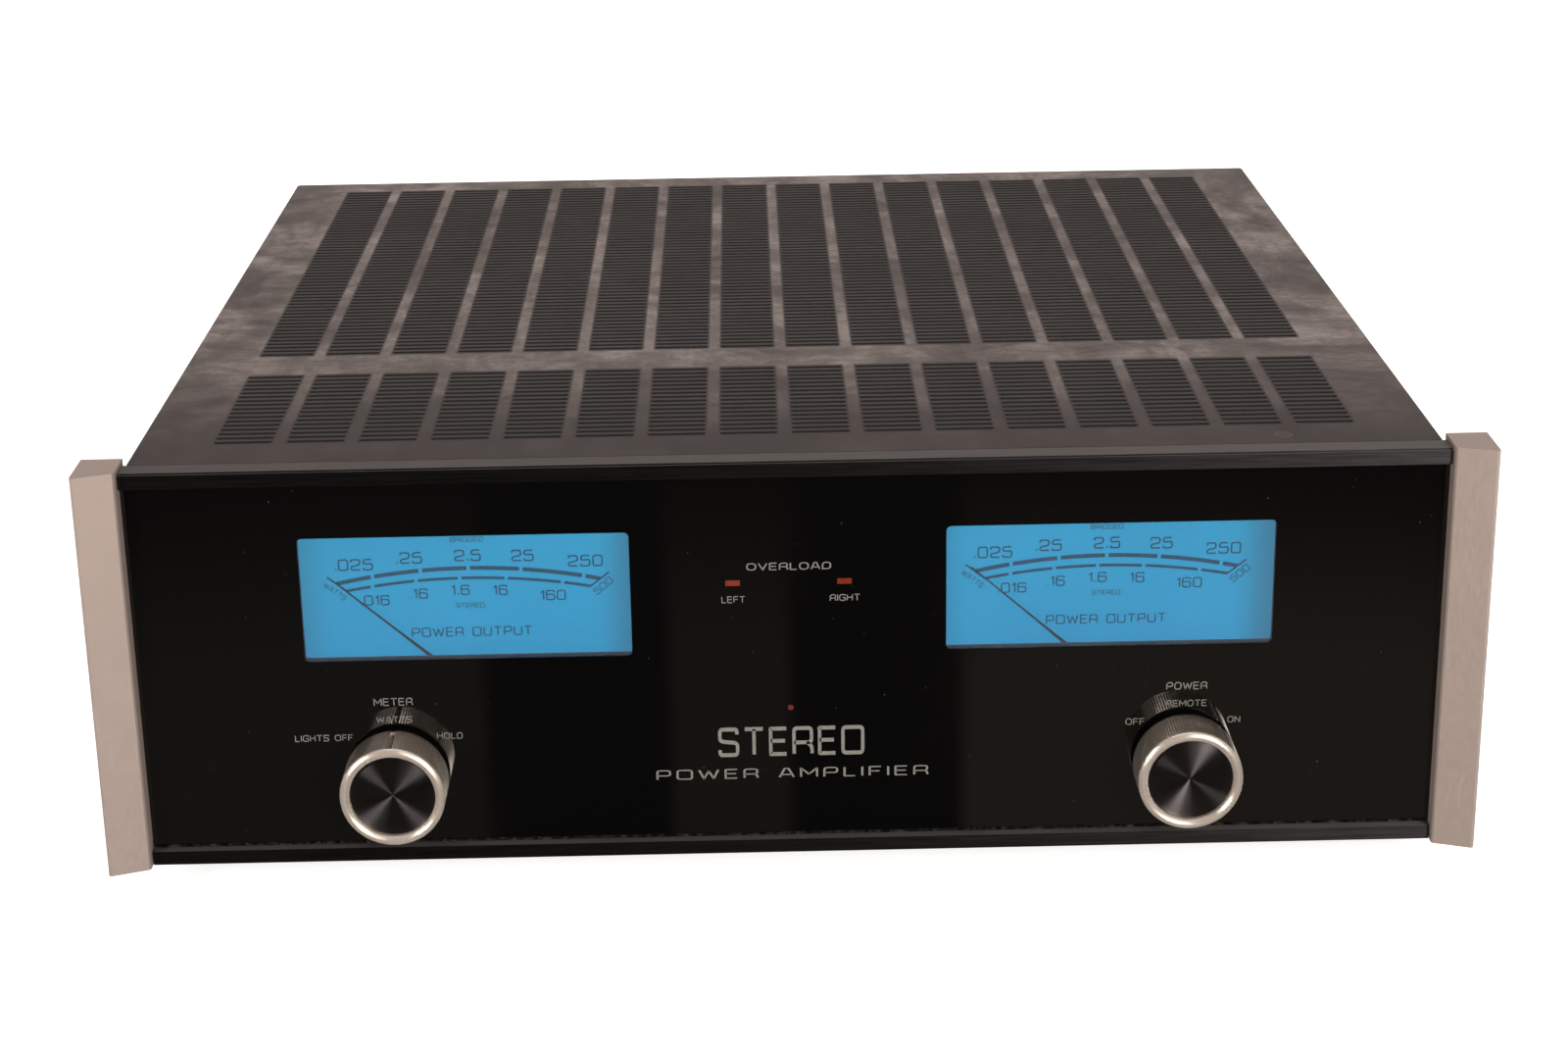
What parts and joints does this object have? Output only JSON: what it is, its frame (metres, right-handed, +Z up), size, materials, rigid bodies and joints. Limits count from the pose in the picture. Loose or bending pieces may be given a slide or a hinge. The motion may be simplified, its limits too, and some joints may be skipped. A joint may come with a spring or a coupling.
{
  "type": "power amplifier",
  "caption": "Wide stereo power amplifier with a black glass front, backlit needle meters, rotary selectors, aluminium end caps, a vented cover and rear connectors.",
  "frame": {"origin": "middle of the plan outline, on the surface the feet stand on", "axes": "+X to the right seen from the front, +Y towards the back, +Z up"},
  "size_m": [0.4444, 0.4368, 0.1472],
  "materials": {
    "black_glass": "polished, painted black behind",
    "black_steel": "satin black paint",
    "black_anodised": "brushed and anodised black",
    "cap_aluminium": "champagne satin, fine vertical grain",
    "cover_paint": "matte dark grey paint, dusty",
    "meter_plastic": "satin",
    "scale_blue": "backlit, printed scale",
    "needle_dark": "satin",
    "knob_aluminium": "bright turned and knurled",
    "knob_black": "black, spun grain",
    "steel": "machined",
    "black_plastic": "satin",
    "led_red": "translucent, unlit",
    "board_green": "solder mask",
    "zinc_steel": "zinc plated sheet",
    "rubber": "matte",
    "heatsink_aluminium": "black anodised extrusion",
    "transformer_can": "black paint",
    "capacitor_sleeve": "shrink sleeve",
    "gold_brass": "gold plated",
    "post_red": "moulded"
  },
  "bodies": {
    "chassis": {"front_glass": "black_glass", "front_subpanel": "black_steel", "top_trim_rail": "black_anodised", "bottom_trim_rail": "black_anodised", "end_cap_left": "cap_aluminium", "end_cap_right": "cap_aluminium", "meter_left_housing": "meter_plastic", "meter_left_scale": "scale_blue", "meter_left_movement": "black_plastic", "meter_right_housing": "meter_plastic", "meter_right_scale": "scale_blue", "meter_right_movement": "black_plastic", "meter_selector_switch": "black_plastic", "power_selector_switch": "black_plastic", "overload_led_left": "led_red", "overload_led_right": "led_red", "control_board": "board_green", "chassis_tray": "zinc_steel", "top_cover": "cover_paint", "foot_front_left": "rubber", "foot_front_right": "rubber", "foot_rear_left": "rubber", "foot_rear_right": "rubber", "power_transformer": "transformer_can", "heatsink_left": "heatsink_aluminium", "heatsink_right": "heatsink_aluminium", "amplifier_board_left": "board_green", "amplifier_board_right": "board_green", "filter_capacitor_left": "capacitor_sleeve", "filter_capacitor_right": "capacitor_sleeve", "input_board": "board_green", "rear_panel": "black_steel", "ac_inlet": "black_plastic", "xlr_jack_left": "black_plastic", "xlr_jack_right": "black_plastic", "rca_jack_left": "gold_brass", "rca_jack_right": "gold_brass", "mode_switch_body": "black_plastic", "post_left_negative_base": "gold_brass", "post_left_positive_base": "gold_brass", "post_right_positive_base": "gold_brass", "post_right_negative_base": "gold_brass"},
    "meter_selector": {"meter_selector_knob": "knob_aluminium", "meter_selector_insert": "knob_black", "meter_selector_shaft": "steel"},
    "power_selector": {"power_selector_knob": "knob_aluminium", "power_selector_insert": "knob_black", "power_selector_shaft": "steel"},
    "left_needle": {"meter_left_needle": "needle_dark"},
    "right_needle": {"meter_right_needle": "needle_dark"},
    "mode_slider": {"mode_switch_slider": "steel"},
    "fuse_carrier": {"fuse_drawer": "black_plastic"},
    "left_negative_sleeve": {"post_left_negative_sleeve": "gold_brass"},
    "left_negative_cap": {"post_left_negative_cap": "black_plastic"},
    "left_positive_sleeve": {"post_left_positive_sleeve": "gold_brass"},
    "left_positive_cap": {"post_left_positive_cap": "post_red"},
    "right_positive_sleeve": {"post_right_positive_sleeve": "gold_brass"},
    "right_positive_cap": {"post_right_positive_cap": "post_red"},
    "right_negative_sleeve": {"post_right_negative_sleeve": "gold_brass"},
    "right_negative_cap": {"post_right_negative_cap": "black_plastic"}
  },
  "joints": [
    {"name": "meter_selector_turn", "type": "hinge", "parent": "chassis", "child": "meter_selector", "pos_m": [-0.1277, -0.20985, 0.0405], "axis": [0, 1, 0], "range_deg": [-45, 45]},
    {"name": "power_selector_turn", "type": "hinge", "parent": "chassis", "child": "power_selector", "pos_m": [0.1277, -0.20985, 0.0405], "axis": [0, 1, 0], "range_deg": [-90, 0]},
    {"name": "left_needle_swing", "type": "hinge", "parent": "chassis", "child": "left_needle", "pos_m": [-0.1027, -0.19045, 0.0665], "axis": [0, 1, 0], "range_deg": [0, 97], "stiffness_Nm_per_rad": 0.0008, "springref_deg": -5.73},
    {"name": "right_needle_swing", "type": "hinge", "parent": "chassis", "child": "right_needle", "pos_m": [0.1027, -0.19045, 0.0665], "axis": [0, 1, 0], "range_deg": [0, 97], "stiffness_Nm_per_rad": 0.0008, "springref_deg": -5.73},
    {"name": "mode_switch_slide", "type": "slide", "parent": "chassis", "child": "mode_slider", "axis": [1, 0, 0], "range_m": [0, 0.006]},
    {"name": "fuse_drawer_slide", "type": "slide", "parent": "chassis", "child": "fuse_carrier", "axis": [0, 1, 0], "range_m": [0, 0.016]},
    {"name": "left_negative_post_travel", "type": "slide", "parent": "chassis", "child": "left_negative_sleeve", "axis": [0, 1, 0], "range_m": [0, 0.00312]},
    {"name": "left_negative_post_turn", "type": "hinge", "parent": "left_negative_sleeve", "child": "left_negative_cap", "pos_m": [-0.11, 0.20715, 0.086], "axis": [0, 1, 0], "range_deg": [0, 900]},
    {"name": "left_positive_post_travel", "type": "slide", "parent": "chassis", "child": "left_positive_sleeve", "axis": [0, 1, 0], "range_m": [0, 0.00312]},
    {"name": "left_positive_post_turn", "type": "hinge", "parent": "left_positive_sleeve", "child": "left_positive_cap", "pos_m": [-0.085, 0.20715, 0.086], "axis": [0, 1, 0], "range_deg": [0, 900]},
    {"name": "right_positive_post_travel", "type": "slide", "parent": "chassis", "child": "right_positive_sleeve", "axis": [0, 1, 0], "range_m": [0, 0.00312]},
    {"name": "right_positive_post_turn", "type": "hinge", "parent": "right_positive_sleeve", "child": "right_positive_cap", "pos_m": [0.085, 0.20715, 0.086], "axis": [0, 1, 0], "range_deg": [0, 900]},
    {"name": "right_negative_post_travel", "type": "slide", "parent": "chassis", "child": "right_negative_sleeve", "axis": [0, 1, 0], "range_m": [0, 0.00312]},
    {"name": "right_negative_post_turn", "type": "hinge", "parent": "right_negative_sleeve", "child": "right_negative_cap", "pos_m": [0.11, 0.20715, 0.086], "axis": [0, 1, 0], "range_deg": [0, 900]}
  ],
  "couplings": [
    {"joint": "left_negative_post_turn", "follows": "left_negative_post_travel", "rad_per_m": 5026.5},
    {"joint": "left_positive_post_turn", "follows": "left_positive_post_travel", "rad_per_m": 5026.5},
    {"joint": "right_positive_post_turn", "follows": "right_positive_post_travel", "rad_per_m": 5026.5},
    {"joint": "right_negative_post_turn", "follows": "right_negative_post_travel", "rad_per_m": 5026.5}
  ]
}
